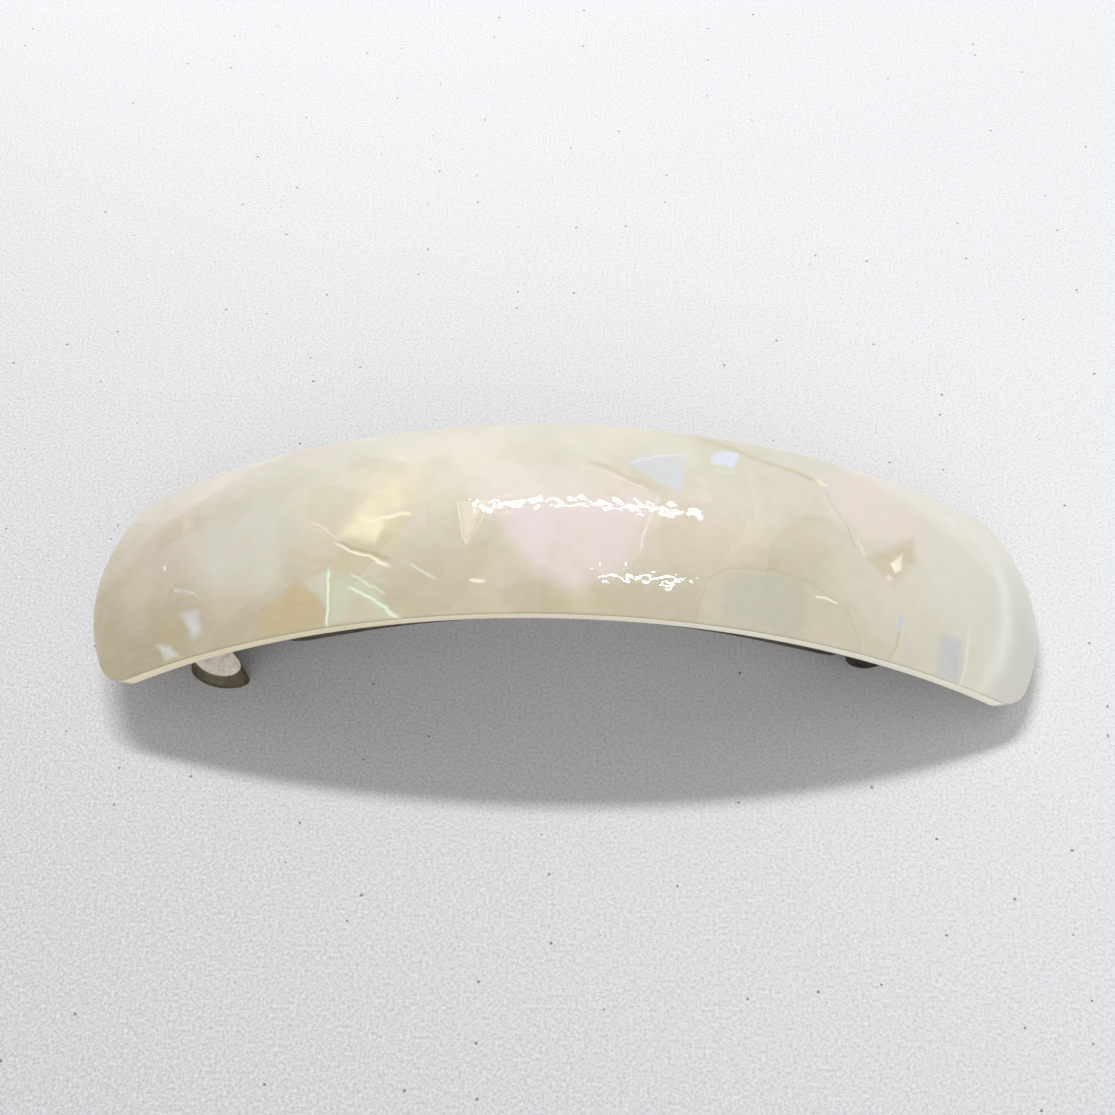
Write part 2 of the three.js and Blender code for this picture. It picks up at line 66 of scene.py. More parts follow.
CHORD = 105.0
WIDTH = 25.0
THICKNESS = 2.3
ARCH_RADIUS = 85.0
DOME_RADIUS = 40.0
CORNER_RADIUS = 4.0
END_RADIUS = 26.0
TOP_ROUND = 0.22
LOWER_ROUND = 0.35
REST_LEAN = math.radians(2.2)
HALF_ARC = ARCH_RADIUS * math.asin(CHORD / 2 / ARCH_RADIUS)

# How far the leaned arch's centre line lies from the middle of the plate's box, towards the catch
CENTRE_BACK = 2.559

# In metres: corners nearer to each other than this become one
WELD = 1e-6

# Steps along the parts of a quarter of the plate's outline, and round each of its rim's edges
SIDE_STEPS = 84
CORNER_STEPS = 8
END_STEPS = 14
RIM_STEPS = 8

# The arch's centre line in the row frame: the plate's highest point is ARCH_RADIUS above it
PLATE_LOW, PLATE_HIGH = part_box("acetate_plate")
CENTRE_X = (PLATE_LOW[0] + PLATE_HIGH[0]) / 2 / MM - CENTRE_BACK
CENTRE_Z = PLATE_HIGH[2] / MM - ARCH_RADIUS

ARCH_TO_ROW = (
    Matrix.Translation(Vector((CENTRE_X, 0, CENTRE_Z)) * MM)
    @ Matrix.Rotation(REST_LEAN, 4, "Y")
    @ Matrix.Scale(MM, 4)
)


def steps(start, stop, count):
    """Even steps from start to stop, with both ends."""
    return [start + (stop - start) * i / count for i in range(count + 1)]


def link(obj):
    bpy.context.scene.collection.objects.link(obj)
    return obj


# ---- node helpers


class Nodes:
    """A short way to write a material's nodes."""

    def __init__(self, name):
        self.material = bpy.data.materials.new(name)
        self.material.use_nodes = True
        self.tree = self.material.node_tree
        self.tree.nodes.clear()
        self.output = self.tree.nodes.new("ShaderNodeOutputMaterial")
        self.shader = self.tree.nodes.new("ShaderNodeBsdfPrincipled")
        self.join(self.shader.outputs[0], self.output.inputs[0])

    def join(self, source, target):
        self.tree.links.new(source, target)

    def node(self, kind, **settings):
        made = self.tree.nodes.new("ShaderNode" + kind)
        for key, value in settings.items():
            setattr(made, key, value)
        return made

    def put(self, target, value):
        """Links value if it is a socket, and sets it if it is a number or a colour."""
        if isinstance(value, bpy.types.NodeSocket):
            self.join(value, target)
        else:
            target.default_value = value

    def math(self, operation, first, second=0.0):
        made = self.node("Math", operation=operation)
        self.put(made.inputs[0], first)
        self.put(made.inputs[1], second)
        return made.outputs[0]

    def ramp(self, value, low, high, start=0.0, end=1.0):
        """A smooth step from start to end as value goes from low to high."""
        made = self.node("MapRange", interpolation_type="SMOOTHSTEP")
        for socket, number in zip(made.inputs, (value, low, high, start, end)):
            self.put(socket, number)
        return made.outputs[0]

    def mix(self, amount, first, second, blend="MIX"):
        made = self.node("Mix", data_type="RGBA", blend_type=blend)
        self.put(made.inputs["Factor"], amount)
        self.put(made.inputs[6], first)
        self.put(made.inputs[7], second)
        return made.outputs[2]

    def noise(self, where, scale, detail=3.0, roughness=0.5, color=False):
        made = self.node("TexNoise")
        self.put(made.inputs["Vector"], where)
        made.inputs["Scale"].default_value = scale
        made.inputs["Detail"].default_value = detail
        made.inputs["Roughness"].default_value = roughness
        return made.outputs["Color" if color else "Fac"]

    def bump(self, height, distance, strength=1.0, normal=None):
        made = self.node("Bump")
        self.put(made.inputs["Height"], height)
        made.inputs["Distance"].default_value = distance
        made.inputs["Strength"].default_value = strength
        if normal is not None:
            self.join(normal, made.inputs["Normal"])
        return made.outputs[0]


def linear(red, green, blue):
    """An sRGB colour, 0 to 255, as the linear colour that the nodes take."""
    channels = [value / 255 for value in (red, green, blue)]
    return (*[c / 12.92 if c <= 0.04045 else ((c + 0.055) / 1.055) ** 2.4 for c in channels], 1.0)


# ---- the plate's shape


def arch_point(angle, across, radius):
    """A point in the arch frame, from its angle along the arch and its distance from the centre."""
    return Vector((radius * math.sin(angle), across, radius * math.cos(angle)))


def plate_point(along, across, depth):
    """A point of the plate, from its way along the arch, its way across and its depth."""
    roll = math.asin(across / DOME_RADIUS)
    radius = ARCH_RADIUS - DOME_RADIUS * (1 - math.cos(roll)) - depth * math.cos(roll)
    return arch_point(along / ARCH_RADIUS, across - depth * math.sin(roll), radius)


def outline_quarter(inset):
    """The long side's half and the end's half of a quarter outline, split in the corner."""
    corner_across = WIDTH / 2 - CORNER_RADIUS
    end_centre = HALF_ARC - END_RADIUS
    corner_along = end_centre + math.sqrt((END_RADIUS - CORNER_RADIUS) ** 2 - corner_across**2)
    lean = math.atan2(corner_across, corner_along - end_centre)
    split = (math.pi / 2 + lean) / 2

    def on_corner(angle):
        radius = CORNER_RADIUS - inset
        return (corner_along + radius * math.cos(angle), corner_across + radius * math.sin(angle))

    def on_end(angle):
        radius = END_RADIUS - inset
        return (end_centre + radius * math.cos(angle), radius * math.sin(angle))

    side = [(along, WIDTH / 2 - inset) for along in steps(0, corner_along, SIDE_STEPS)]
    side += [on_corner(angle) for angle in steps(math.pi / 2, split, CORNER_STEPS)[1:]]
    tip = [on_corner(angle) for angle in steps(split, lean, CORNER_STEPS)]
    tip += [on_end(angle) for angle in steps(lean, 0, END_STEPS)[1:]]
    return side, tip


def outline_sides(inset):
    """The far long side from end to end, and the hinge end from side to side."""
    side, tip = outline_quarter(inset)
    whole_side = [(-along, across) for along, across in reversed(side[1:])] + side
    whole_end = [(along, -across) for along, across in tip] + tip[-2::-1]
    return whole_side, whole_end


def plate_face(inset, depth):
    """One face of the plate as rows of (along, across, depth)."""
    side, end = outline_sides(inset)
    corner_along, corner_across = side[-1]
    return [
        [
            (end_along * along / corner_along, side_across * across / corner_across, depth)
            for end_along, across in end
        ]
        for along, side_across in side
    ]


def plate_loop(inset, depth):
    """The plate's whole outline at one depth, as (along, across, depth)."""
    side, end = outline_sides(inset)
    loop = [(along, -across) for along, across in side[1:]] + end[1:]
    loop += side[-2::-1] + [(-along, across) for along, across in end[-2::-1]]
    return [(along, across, depth) for along, across in loop]


def build_plate(material):
    """The acetate plate: two domed faces and a polished, rounded rim, with the place of each
    point in the flat sheet kept in the attribute sheet_mm for the material."""
    turns = steps(0, math.pi / 2, RIM_STEPS)
    rim = [
        plate_loop(TOP_ROUND * (1 - math.sin(a)), TOP_ROUND * (1 - math.cos(a))) for a in turns
    ]
    rim += [
        plate_loop(LOWER_ROUND * (1 - math.cos(a)), THICKNESS - LOWER_ROUND * (1 - math.sin(a)))
        for a in turns
    ]
    mesh_data = bmesh.new()
    sheet = mesh_data.verts.layers.float_vector.new("sheet_mm")
    made = {}

    def vertex(place):
        key = tuple(round(value, 4) for value in place)
        if key not in made:
            made[key] = mesh_data.verts.new(ARCH_TO_ROW @ plate_point(*place))
            made[key][sheet] = Vector(place)
        return made[key]

    faces = ((plate_face(TOP_ROUND, 0.0), True), (plate_face(LOWER_ROUND, THICKNESS), False))
    for rows, upward in faces:
        for first, second in zip(rows, rows[1:]):
            for j in range(1, len(first)):
                corners = [first[j - 1], second[j - 1], second[j], first[j]]
                if not upward:
                    corners.reverse()
                mesh_data.faces.new([vertex(place) for place in corners])
    for upper, lower in zip(rim, rim[1:]):
        for i, place in enumerate(upper):
            j = (i + 1) % len(upper)
            corners = [vertex(p) for p in (lower[i], lower[j], upper[j], place)]
            mesh_data.faces.new(corners)
    bmesh.ops.recalc_face_normals(mesh_data, faces=mesh_data.faces)
    mesh = bpy.data.meshes.new("pearl_plate")
    mesh_data.to_mesh(mesh)
    mesh_data.free()
    mesh.shade_smooth()
    mesh.materials.append(material)
    plate = link(bpy.data.objects.new("pearl_plate", mesh))
    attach(plate, "clip")
    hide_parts("acetate_plate")
    return plate


# ---- the plate's material

# Millimetres on the sheet, apart from noise scales, which are turns in a millimetre
CLOUD_SCALE = 0.45
RIM_LINE_WIDTH = 0.16
RIM_LINE_STRENGTH = 0.55
# From the hinge end's arc centre: the painted glow, the painted highlight line and the painted reflection
# band
GLOW_REACH = (17.0, 21.6)
HIGHLIGHT_LINE_REACH = 21.1
HIGHLIGHT_LINE_WIDTH = 1.5
REFLECTION_BAND_REACH = (21.0, 23.6)
ARRIS_DEPTH = TOP_ROUND
ARRIS_WIDTH = 0.13
# Depths where the cut edge's wall, painted paler and glowing, begins and ends
WALL_TOP = (0.3, 0.55)
WALL_FOOT = (2.0, 2.25)
WANDER_SCALE = 0.3
WANDER_REACH = 1.5
STREAK_SCALE = 0.8

# Metres: how high the skin's slow and quick ripples stand, and how far light goes into the sheet
SLOW_RIPPLE = 0.00009
QUICK_RIPPLE = 0.000008
LIGHT_REACH = 0.0012


class Flakes:
    """Flakes and creases laid on the sheet, each worked out from its place in millimetres."""

    def __init__(self, nodes, place):
        self.n = nodes
        split = nodes.node("SeparateXYZ")
        nodes.join(place, split.inputs[0])
        self.along, self.across, self.depth = split.outputs
        self.cloud = nodes.noise(place, CLOUD_SCALE, detail=3.0)

    def distance(self, start, end):
        """Signed distance from the line through two points, positive on its left."""
        dx, dy = end[0] - start[0], end[1] - start[1]
        length = math.hypot(dx, dy)
        nx, ny = -dy / length, dx / length
        first = self.n.node("Math", operation="MULTIPLY_ADD")
        self.n.join(self.along, first.inputs[0])
        first.inputs[1].default_value = nx
        first.inputs[2].default_value = -(nx * start[0] + ny * start[1])
        second = self.n.node("Math", operation="MULTIPLY_ADD")
        self.n.join(self.across, second.inputs[0])
        second.inputs[1].default_value = ny
        self.n.join(first.outputs[0], second.inputs[2])
        return second.outputs[0]

    def inside(self, corners):
        """How deep a point lies inside a convex outline with its corners counterclockwise."""
        depth = None
        for start, end in zip(corners, corners[1:] + corners[:1]):
            edge = self.distance(start, end)
            depth = edge if depth is None else self.n.math("MINIMUM", depth, edge)
        return depth

    def flake(self, color, corners, tint, strength=1.0, soft=0.5, rim=None):
        """Tints the inside of an outline, clouded, and fading in over soft millimetres. A rim
        colour draws a thin line along its edge."""
        depth = self.inside(corners)
        amount = self.n.ramp(depth, -soft / 3, soft, 0.0, strength)
        clouded = self.n.math("MULTIPLY", amount, self.n.ramp(self.cloud, 0.3, 0.6, 0.6, 1.0))
        color = self.n.mix(clouded, color, tint)
        if rim:
            near = self.n.math("ABSOLUTE", depth)
            edge = self.n.ramp(near, 0.0, RIM_LINE_WIDTH, RIM_LINE_STRENGTH, 0.0)
            color = self.n.mix(edge, color, rim)
        return color

    def crease(self, color, start, end, tint, width=0.25, strength=1.0):
        """A thin line between two points that fades at both ends."""
        side = self.n.math("ABSOLUTE", self.distance(start, end))
        line = self.n.ramp(side, 0.0, width, strength, 0.0)
        dx, dy = end[0] - start[0], end[1] - start[1]
        middle = ((start[0] + end[0]) / 2, (start[1] + end[1]) / 2)
        turned = (middle[0] - dy, middle[1] + dx)
        way = self.n.math("ABSOLUTE", self.distance(middle, turned))
        length = math.hypot(dx, dy)
        span = self.n.ramp(way, length * 0.3, length * 0.5, 1.0, 0.0)
        return self.n.mix(self.n.math("MULTIPLY", line, span), color, tint)


def pearl_ground(n, flakes, warped):
    """The sheet's colour: soft clouds and large faint chips, with painted shade that darkens and warms
    it toward the front edge and the catch end, and painted light that pales it toward the hinge end and the
    back."""
    clouds = n.noise(warped, 0.09, detail=5.0, roughness=0.55)
    color = n.mix(n.ramp(clouds, 0.36, 0.64), linear(213, 206, 182), linear(229, 223, 204))
    for scale, strength in ((0.075, 0.34), (0.16, 0.2)):
        chips = n.node("TexVoronoi", feature="F1")
        n.join(warped, chips.inputs["Vector"])
        chips.inputs["Scale"].default_value = scale
        tint = n.node("SeparateColor")
        n.join(chips.outputs["Color"], tint.inputs[0])
        red, green, blue = tint.outputs
        color = n.mix(n.ramp(red, 0.5, 0.9, 0.0, strength), color, linear(219, 223, 211))
        color = n.mix(n.ramp(green, 0.5, 0.9, 0.0, strength), color, linear(236, 220, 213))
        color = n.mix(n.ramp(blue, 0.55, 0.9, 0.0, strength), color, linear(203, 195, 166))
    # Painted shade: darker and warmer toward the front edge and toward the catch end, where less light falls
    front = n.ramp(flakes.across, -13.0, 6.0, 1.0, 0.0)
    color = n.mix(front, color, linear(226, 221, 206), "MULTIPLY")
    catch_end = n.ramp(flakes.along, -54.0, -18.0, 1.0, 0.0)
    color = n.mix(catch_end, color, linear(229, 224, 218), "MULTIPLY")
    # Painted light: paler toward the hinge end and toward the back, where more light falls
    hinge_end = n.ramp(flakes.along, 18.0, 44.0, 0.0, 0.6)
    color = n.mix(hinge_end, color, linear(234, 230, 217))
    back = n.ramp(flakes.across, 4.0, 11.0, 0.0, 0.3)
    return n.mix(back, color, linear(238, 235, 224))


def pearl_flakes(flakes, color):
    """The chips that stand out, from the catch end to the hinge end."""
    flake, crease = flakes.flake, flakes.crease
    pale_green = linear(222, 236, 211)
    brown = linear(186, 168, 132)
    cream = linear(247, 236, 212)
    # The catch end
    color = flake(color, [(-53, -3), (-50, -8), (-46, -6), (-46.5, 3), (-50, 6)],
                  linear(204, 187, 170), 0.6, 2.5)
    color = flake(color, [(-48.5, -5.2), (-44.2, -11.8), (-41.4, -10.4), (-46.6, -3.4)],
                  linear(182, 164, 130), 0.6, 1.2)
    color = flake(color, [(-44.6, -3.4), (-43.8, -4.6), (-39, -7.2), (-41.5, -5.2)],
                  linear(214, 216, 226), 0.8, 0.5)
    color = flake(color, [(-43, -7.6), (-41.2, -10.9), (-39.6, -10.4), (-40.2, -7.4)],
                  linear(207, 206, 212), 0.8, 0.8)
    color = flake(color, [(-46.4, -9.8), (-44.8, -12.4), (-42.4, -12.4), (-43.8, -10.6)],
                  linear(214, 214, 212), 0.75, 0.7)
    color = flake(color, [(-45.6, 5.8), (-44.4, 3.2), (-43, 3.8), (-44.2, 6)],
                  linear(236, 212, 190), 0.6, 0.8)
    color = flake(color, [(-46.3, -0.7), (-45.9, -1.5), (-45.4, -1.2), (-45.8, -0.5)],
                  linear(226, 232, 246), 0.9, 0.25)
    color = flake(color, [(-44, 3), (-42, -6), (-30, -9), (-28, 2), (-34, 6)],
                  linear(205, 204, 190), 0.7, 4.0)
    color = crease(color, (-45, -5.4), (-43.6, -2.8), linear(160, 156, 140), 0.3, 0.5)
    # The gold glow and the creases that cross it
    color = flake(color, [(-25, -3.4), (-17, -3.2), (-14.8, 3), (-15.4, 7.2), (-22, 5)],
                  linear(238, 228, 196), 0.75, 2.8)
    color = flake(color, [(-23.6, -2.2), (-19.6, -4.2), (-18.2, -1.4), (-21.8, 0.4)],
                  linear(246, 235, 200), 0.85, 1.1)
    color = flake(color, [(-19.5, -5), (-17.2, -5.6), (-16.8, -0.9), (-19.5, -0.8)],
                  linear(208, 198, 160), 0.5, 0.6)
    color = crease(color, (-21.2, -1.2), (-15.8, -0.6), cream, 0.35)
    color = crease(color, (-28.4, 1.0), (-23.6, -3.2), linear(240, 218, 196), 0.2, 0.8)
    color = crease(color, (-24.6, -2.7), (-17.4, -6.6), brown, 0.4, 0.8)
    color = crease(color, (-24.9, -2.9), (-17.6, -7.2), linear(248, 232, 208), 0.28)
    color = crease(color, (-29.4, -3.8), (-20.6, -7.0), linear(200, 186, 152), 0.5, 0.6)
    color = crease(color, (-21.6, -8.2), (-12.8, -6.9), linear(200, 186, 156), 0.35, 0.55)
    color = crease(color, (-16.4, -6.6), (-12.6, -8.8), linear(222, 218, 200), 0.3, 0.8)
    # The ochre chip and the green one beside it
    color = flake(color, [(-33.4, -12.6), (-24.9, -12.6), (-24.9, -11), (-27.8, -7), (-29.6, -7.5),
                          (-32.3, -9.6)], linear(192, 174, 134), 0.9, 0.5, brown)
    color = flake(color, [(-24.8, -10.9), (-24.7, -6.3), (-27.9, -7.1)], linear(206, 206, 190), 0.7, 0.6)
    color = flake(color, [(-24.7, -12.6), (-16.8, -12.6), (-20.2, -8.4), (-24.6, -6.2)],
                  linear(200, 204, 176), 0.75, 0.7)
    color = flake(color, [(-23.4, -12.6), (-18.4, -12.6), (-22, -9.6)], linear(200, 188, 160), 0.7, 0.4)
    color = crease(color, (-24.7, -5.6), (-24.7, -13.2), pale_green, 0.32)
    color = crease(color, (-22.8, -6.9), (-18, -10.2), linear(214, 222, 196), 0.3, 0.8)
    color = crease(color, (-23.2, -8.4), (-15.8, -13), pale_green, 0.32)
    # The rosy chip in the middle, its pale upper part and the marks around it
    color = flake(color, [(-10, 6), (-10.5, 1), (-8, -2), (9, -2), (9.6, 2.1), (5.4, 4.6), (1.8, 5.8)],
                  linear(234, 222, 213), 0.6, 1.6)
    color = flake(color, [(-7.6, 0.6), (-6.6, -4.6), (-3.4, -8.6), (1, -10.8), (6, -8.6), (7.9, -5.4),
                          (9.3, 1.4)], linear(226, 211, 208), 0.85, 2.0)
    color = flake(color, [(-7.4, 0.2), (-6.6, -3.6), (-3.4, -6.6), (0.5, -4), (-1, 0.4)],
                  linear(230, 210, 214), 0.7, 2.4)
    color = flake(color, [(-11.4, 0.2), (-10.2, -4.9), (-7.6, 0.4)], linear(236, 224, 206), 0.7, 0.5, cream)
    color = crease(color, (-8.4, 0.2), (-10, -5), linear(218, 200, 172), 0.3, 0.8)
    color = crease(color, (1.4, 6.6), (10, 2.2), linear(205, 190, 160), 0.55, 0.7)
    color = crease(color, (-0.6, 6.4), (9.8, 1.9), linear(240, 228, 212), 0.2, 0.7)
    color = crease(color, (9.8, 2.6), (7.6, -6), linear(240, 226, 222), 0.25, 0.9)
    color = flake(color, [(-9.8, -6.6), (-9.2, -10.4), (-8, -10.6), (-8.2, -6.4)],
                  linear(204, 188, 152), 0.7, 0.8)
    color = crease(color, (-9.6, -9), (-7.8, -9.4), linear(244, 234, 216), 0.3)
    color = flake(color, [(4, -9.6), (13, -9.4), (14.2, -12.6), (5, -12.6)], linear(194, 180, 142), 0.6, 1.2)
    # The cool chips above the middle
    color = flake(color, [(6.2, 6.4), (10, 2.8), (12.2, 2), (13, 8.3), (8, 7.6)],
                  linear(213, 217, 223), 0.85, 0.5)
    color = crease(color, (6, 6.2), (13.6, 8.6), linear(232, 234, 236), 0.3, 0.8)
    color = flake(color, [(15, 7.4), (18.4, 7.4), (19, 10.4), (16.8, 9.8)], linear(226, 231, 247), 1.0, 0.4)
    color = flake(color, [(15.4, 7), (16.4, 6), (19.4, 6.6), (18.4, 7.4)], linear(222, 226, 208), 0.7, 0.5)
    color = crease(color, (13.8, 12), (22, 9.4), linear(206, 194, 160), 0.8, 0.6)
    color = crease(color, (20.6, 9.8), (28.4, 7.9), linear(206, 192, 156), 0.6, 0.7)
    color = flake(color, [(27.4, 8.6), (28.3, 7.2), (29.4, 7.9), (28.6, 8.4)],
                  linear(252, 240, 204), 1.0, 0.2)
    # The peach area, the wedge with two bright sparks and the domed grey-green chip
    color = flake(color, [(28.8, 7), (31.6, 0.4), (38.6, 1.6), (41.5, 7), (38, 11.6), (30, 11.6)],
                  linear(236, 221, 211), 0.75, 1.8)
    color = crease(color, (28.4, 7.6), (32, -1.8), linear(196, 190, 170), 0.2, 0.6)
    color = crease(color, (31.6, 0.9), (32.6, -1.6), linear(240, 232, 220), 0.25, 0.8)
    color = flake(color, [(32, -1.6), (36, -4.4), (39.5, 0), (39.2, 4)], linear(206, 194, 160), 0.75, 1.0)
    color = flake(color, [(35.5, -1.4), (36.2, -2.5), (37.2, -1.6), (37.5, 0.7)],
                  linear(255, 248, 226), 1.0, 0.3)
    color = flake(color, [(34.9, -3.3), (35.4, -3.9), (36.2, -3.1), (35.6, -2.7)],
                  linear(246, 226, 214), 1.0, 0.25)
    color = flake(color, [(13.8, -12.6), (32.4, -12.6), (30.4, -8.7), (26.8, -6.8), (22, -5.6), (17.2, -6.3),
                          (14.4, -8)], linear(207, 199, 176), 0.65, 0.4, linear(190, 178, 142))
    color = flake(color, [(16.1, -12.6), (25.4, -12.6), (26.1, -8.6), (25.4, -6.6), (22, -5.8), (17.2, -6.6),
                          (16, -8.6)], linear(192, 190, 170), 0.8, 0.7)
    color = crease(color, (26.4, -7.9), (29.2, -8), linear(255, 244, 226), 0.22)
    color = flake(color, [(36.4, -8.6), (36.9, -8.9), (37.3, -7.6), (36.7, -7.2)],
                  linear(196, 204, 238), 0.9, 0.25)
    color = crease(color, (36.8, -8.6), (35.4, -12.6), linear(188, 174, 136), 0.3, 0.6)
    color = crease(color, (37.2, -8.8), (38.4, -11), linear(206, 206, 200), 0.3, 0.6)
    # The hinge end, beside the cool grey band of painted reflection inside its rim
    color = flake(color, [(41.2, -12.6), (44.8, -12.6), (44.9, -7.4), (41.6, -7.4)],
                  linear(197, 200, 204), 0.75, 1.0)
    color = crease(color, (44.8, -13.6), (45.9, -4.6), linear(228, 232, 218), 0.35, 0.9)
    color = flake(color, [(45.2, 9.4), (46.2, 7.4), (47.4, 8.6), (46.4, 10)], linear(238, 240, 230), 0.8, 0.6)
    return color


def pearl_rims(n, flakes, color):
    """Painted light at the hinge end: a soft glow, a bright highlight line and a cool grey band of
    painted reflection inside its rim; a thin brown line along the arris; and the cut edge's wall
    painted paler, standing in for light carried through the sheet.
    """
    centre = HALF_ARC - END_RADIUS
    out = n.math("POWER", n.math("SUBTRACT", flakes.along, centre), 2.0)
    reach = n.math("SQRT", n.math("ADD", out, n.math("POWER", flakes.across, 2.0)))
    # Painted light inside the hinge end's rim: a glow, a highlight line and a cool grey band of reflection
    at_hinge = n.ramp(flakes.along, 42.0, 48.0)
    middle = n.ramp(n.math("ABSOLUTE", n.math("ADD", flakes.across, 3.0)), 1.0, 12.0, 1.0, 0.25)
    glow = n.math("MULTIPLY", n.ramp(reach, *GLOW_REACH, 0.0, 0.6), middle)
    color = n.mix(n.math("MULTIPLY", glow, at_hinge), color, linear(228, 231, 220))
    from_highlight_line = n.math("ABSOLUTE", n.math("SUBTRACT", reach, HIGHLIGHT_LINE_REACH))
    line = n.math("MULTIPLY", n.ramp(from_highlight_line, 0.0, HIGHLIGHT_LINE_WIDTH, 0.7, 0.0), middle)
    color = n.mix(n.math("MULTIPLY", line, at_hinge), color, linear(240, 243, 233))
    reflection_band = n.math("MULTIPLY", n.ramp(reach, *REFLECTION_BAND_REACH, 0.0, 0.55), at_hinge)
    reflection_band = n.math("MULTIPLY", reflection_band, n.ramp(flakes.across, 0.0, 8.0, 1.0, 0.1))
    color = n.mix(reflection_band, color, linear(208, 207, 204))
    from_arris = n.math("ABSOLUTE", n.math("SUBTRACT", flakes.depth, ARRIS_DEPTH))
    arris = n.ramp(from_arris, 0.0, ARRIS_WIDTH, 0.5, 0.0)
    color = n.mix(arris, color, linear(186, 170, 124))
    # Painted light: the cut edge's wall is painted paler, more so toward the hinge end, standing in for light
    # carried through the sheet
    foot = n.ramp(flakes.depth, *WALL_FOOT, 1.0, 0.0)
    wall_glow = n.math("MULTIPLY", n.ramp(flakes.depth, *WALL_TOP), foot)
    edge = n.mix(n.ramp(flakes.along, -30.0, 24.0), linear(243, 232, 194), linear(254, 247, 226))
    return n.mix(wall_glow, color, edge), wall_glow


def acetate_material():
    """Pearl acetate: torn pearly chips under a polished skin, with painted light at the hinge end and a
    painted glow on the sheet's cut edge.
    """
    n = Nodes("pearl_acetate")
    attribute = n.node("Attribute", attribute_name="sheet_mm")
    place = attribute.outputs["Vector"]
    # The chips' edges wander a little, as torn pearl sheet does
    wander = n.node("VectorMath", operation="SUBTRACT")
    n.join(n.noise(place, WANDER_SCALE, detail=3.0, color=True), wander.inputs[0])
    wander.inputs[1].default_value = (0.5, 0.5, 0.5)
    scaled = n.node("VectorMath", operation="MULTIPLY")
    n.join(wander.outputs[0], scaled.inputs[0])
    scaled.inputs[1].default_value = (WANDER_REACH, WANDER_REACH, 0.0)
    moved = n.node("VectorMath", operation="ADD")
    n.join(place, moved.inputs[0])
    n.join(scaled.outputs[0], moved.inputs[1])
    warped = moved.outputs[0]
    flakes = Flakes(n, warped)

    color = pearl_flakes(flakes, pearl_ground(n, flakes, warped))
    # Fine pearl streaks run through every chip
    stretch = n.node("Mapping")
    n.join(warped, stretch.inputs["Vector"])
    stretch.inputs["Scale"].default_value = (0.7, 1.3, 1.0)
    stretch.inputs["Rotation"].default_value = (0, 0, 0.3)
    streaks = n.noise(stretch.outputs[0], STREAK_SCALE, detail=6.0, roughness=0.62)
    color = n.mix(n.ramp(streaks, 0.4, 0.7, 0.0, 0.07), color, linear(246, 242, 232))
    color = n.mix(n.ramp(streaks, 0.3, 0.5, 0.035, 0.0), color, linear(196, 188, 160))
    color, wall_glow = pearl_rims(n, flakes, color)
    n.join(color, n.shader.inputs["Base Color"])

    # The polished skin ripples slightly, so that a lamp's reflection breaks up along its edges
    ripple = n.bump(n.noise(place, 0.6, detail=1.0), SLOW_RIPPLE, 0.6)
    fine = n.bump(n.noise(place, 2.6, detail=1.0), QUICK_RIPPLE, 0.6, ripple)
    shader = n.shader
    n.join(fine, shader.inputs["Coat Normal"])
    shader.inputs["Roughness"].default_value = 0.4
    shader.inputs["Specular IOR Level"].default_value = 0.3
    shader.inputs["IOR"].default_value = 1.49
    shader.inputs["Subsurface Weight"].default_value = 0.25
    shader.inputs["Subsurface Radius"].default_value = (1.0, 0.9, 0.7)
    shader.inputs["Subsurface Scale"].default_value = LIGHT_REACH
    shader.inputs["Coat Weight"].default_value = 1.0
    shader.inputs["Coat Roughness"].default_value = 0.035
    shader.inputs["Coat IOR"].default_value = 1.49
    # A painted glow: the cut edge's wall emits a little, standing in for light carried along inside the sheet
    shader.inputs["Emission Color"].default_value = linear(250, 236, 200)
    n.join(n.math("MULTIPLY", wall_glow, 0.1), shader.inputs["Emission Strength"])
    return n.material


# ---- metal

# In metres: where the painted shade about the hinge is centred, and from how near to how far it fades
SHADE_MIDDLE_X = 0.037
SHADE_FADE = (0.003, 0.014)

MERGE_ANGLE = math.radians(0.4)
BEVEL_ANGLE = math.radians(32)
SMOOTH_ANGLE = math.radians(40)


